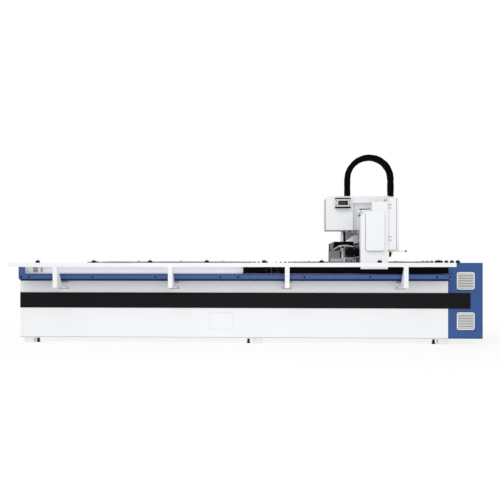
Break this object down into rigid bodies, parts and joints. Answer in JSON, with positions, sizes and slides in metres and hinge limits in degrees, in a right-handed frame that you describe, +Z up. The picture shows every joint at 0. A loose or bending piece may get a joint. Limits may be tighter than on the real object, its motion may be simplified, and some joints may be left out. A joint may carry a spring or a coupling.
{
  "type": "fiber laser cutting machine",
  "caption": "Open-bed fibre laser cutting machine: slatted bed, moving gantry with cutting head, arched cable chain, rails with ball rollers and a rear cabinet",
  "frame": {"origin": "centre of the bottom of the machine's outer box, on the floor", "axes": "+X runs along the bed from the drawer end to the cabinet end, +Y from the front side to the rear, +Z up"},
  "size_m": [4.785, 2.35, 1.967],
  "materials": {
    "white_paint": "satin white powder coat",
    "grey_paint": "light grey powder coat",
    "drawer_paint": "light grey powder coat",
    "blue_paint": "satin dark blue powder coat",
    "shelf_paint": "satin blue powder coat",
    "black_paint": "glossy black paint",
    "motor_black": "dark satin paint",
    "black_plastic": "moulded, matte black",
    "switch_yellow": "moulded, yellow-green",
    "machined_steel": "ground steel",
    "slat_steel": "mill-finish steel with heat marks",
    "ball_steel": "polished ball in a plated seat",
    "nozzle_steel": "bright turned metal",
    "foot_steel": "zinc-plated steel"
  },
  "bodies": {
    "bed": {"front_side_frame": "white_paint", "rear_side_frame": "white_paint", "inner_frames": "white_paint", "front_panel": "white_paint", "rear_panel": "white_paint", "left_end_panel": "white_paint", "access_hatch": "white_paint", "side_bands": "black_paint", "cabinet_shell": "blue_paint", "cabinet_grilles": "blue_paint", "fan_frame": "black_plastic", "laser_source": "grey_paint", "drive_panel": "grey_paint", "front_shelf": "shelf_paint", "rear_shelf": "shelf_paint", "front_feed_rail": "white_paint", "rear_feed_rail": "white_paint", "ball_units": "ball_steel", "x_rails": "machined_steel", "x_racks": "machined_steel", "slats": "slat_steel", "slat_combs": "slat_steel", "end_decks": "white_paint", "slag_hopper": "grey_paint", "feet": "foot_steel", "x_energy_chain": "black_plastic"},
    "front_door": {"front_door": "blue_paint"},
    "rear_door": {"rear_door": "blue_paint"},
    "front_latch": {"front_latch": "black_plastic"},
    "rear_latch": {"rear_latch": "black_plastic"},
    "fan": {"fan_rotor": "black_plastic"},
    "drawer": {"slag_drawer": "drawer_paint"},
    "gantry": {"gantry_frame": "white_paint", "beam_guard": "grey_paint", "x_guide_blocks": "machined_steel", "x_drives": "motor_black", "front_end_cover": "white_paint", "rear_end_cover": "white_paint", "y_rails": "machined_steel", "y_rack": "machined_steel", "y_chain_housing": "white_paint", "housing_end_caps": "white_paint", "y_energy_chain": "black_plastic", "limit_switch": "switch_yellow"},
    "front_x_pinion": {"front_x_pinion": "machined_steel"},
    "rear_x_pinion": {"rear_x_pinion": "machined_steel"},
    "switch_lever": {"switch_lever": "machined_steel"},
    "carriage": {"saddle": "grey_paint", "y_guide_blocks": "machined_steel", "y_drive": "motor_black", "head_cover": "white_paint", "indicator_box": "white_paint", "arch_chain": "black_plastic", "z_drive": "grey_paint"},
    "y_pinion": {"y_pinion": "machined_steel"},
    "z_screw": {"z_screw": "machined_steel"},
    "z_slide": {"z_plate": "grey_paint", "cutting_head": "black_plastic", "nozzle": "nozzle_steel", "head_shroud": "black_plastic"}
  },
  "joints": [
    {"name": "gantry_travel", "type": "slide", "parent": "bed", "child": "gantry", "axis": [1, 0, 0], "range_m": [-2.62, 0.43]},
    {"name": "carriage_travel", "type": "slide", "parent": "gantry", "child": "carriage", "axis": [0, 1, 0], "range_m": [-0.1, 1.34]},
    {"name": "head_lift", "type": "slide", "parent": "carriage", "child": "z_slide", "axis": [0, 0, 1], "range_m": [0, 0.1]},
    {"name": "front_x_pinion_turn", "type": "hinge", "parent": "gantry", "child": "front_x_pinion", "pos_m": [1.0565, -0.872, 0.8], "axis": [0, 0, 1], "range_deg": [-5500, 920]},
    {"name": "rear_x_pinion_turn", "type": "hinge", "parent": "gantry", "child": "rear_x_pinion", "pos_m": [1.0565, 0.872, 0.8], "axis": [0, 0, 1], "range_deg": [-920, 5500]},
    {"name": "y_pinion_turn", "type": "hinge", "parent": "carriage", "child": "y_pinion", "pos_m": [1.245, -0.62, 1.41], "axis": [0, 0, 1], "range_deg": [-4600, 400]},
    {"name": "z_screw_turn", "type": "hinge", "parent": "carriage", "child": "z_screw", "pos_m": [1.0515, -0.62, 1.3], "axis": [0, 0, 1], "range_deg": [-10, 3620]},
    {"name": "front_door_hinge", "type": "hinge", "parent": "bed", "child": "front_door", "pos_m": [2.3925, -0.853, 0.44], "axis": [0, 0, 1], "range_deg": [-110, 0]},
    {"name": "rear_door_hinge", "type": "hinge", "parent": "bed", "child": "rear_door", "pos_m": [2.3925, 0.853, 0.44], "axis": [0, 0, 1], "range_deg": [0, 110]},
    {"name": "front_latch_hinge", "type": "hinge", "parent": "front_door", "child": "front_latch", "pos_m": [2.387, -0.0715, 0.5035], "axis": [0, -1, 0], "range_deg": [0, 35]},
    {"name": "rear_latch_hinge", "type": "hinge", "parent": "rear_door", "child": "rear_latch", "pos_m": [2.387, 0.0715, 0.5035], "axis": [0, -1, 0], "range_deg": [0, 35]},
    {"name": "fan_turn", "type": "hinge", "parent": "bed", "child": "fan", "pos_m": [2.225, -0.84, 0.2385], "axis": [0, 1, 0], "continuous": true},
    {"name": "drawer_slide", "type": "slide", "parent": "bed", "child": "drawer", "axis": [-1, 0, 0], "range_m": [0, 1.5]},
    {"name": "switch_lever_hinge", "type": "hinge", "parent": "gantry", "child": "switch_lever", "pos_m": [1.4565, -0.995, 0.945], "axis": [0, 1, 0], "range_deg": [-20, 20], "stiffness_Nm_per_rad": 2}
  ],
  "couplings": [
    {"joint": "front_x_pinion_turn", "follows": "gantry_travel", "rad_per_m": 36.364},
    {"joint": "rear_x_pinion_turn", "follows": "gantry_travel", "rad_per_m": -36.364},
    {"joint": "y_pinion_turn", "follows": "carriage_travel", "rad_per_m": -58.824},
    {"joint": "z_screw_turn", "follows": "head_lift", "rad_per_m": 628.32}
  ]
}
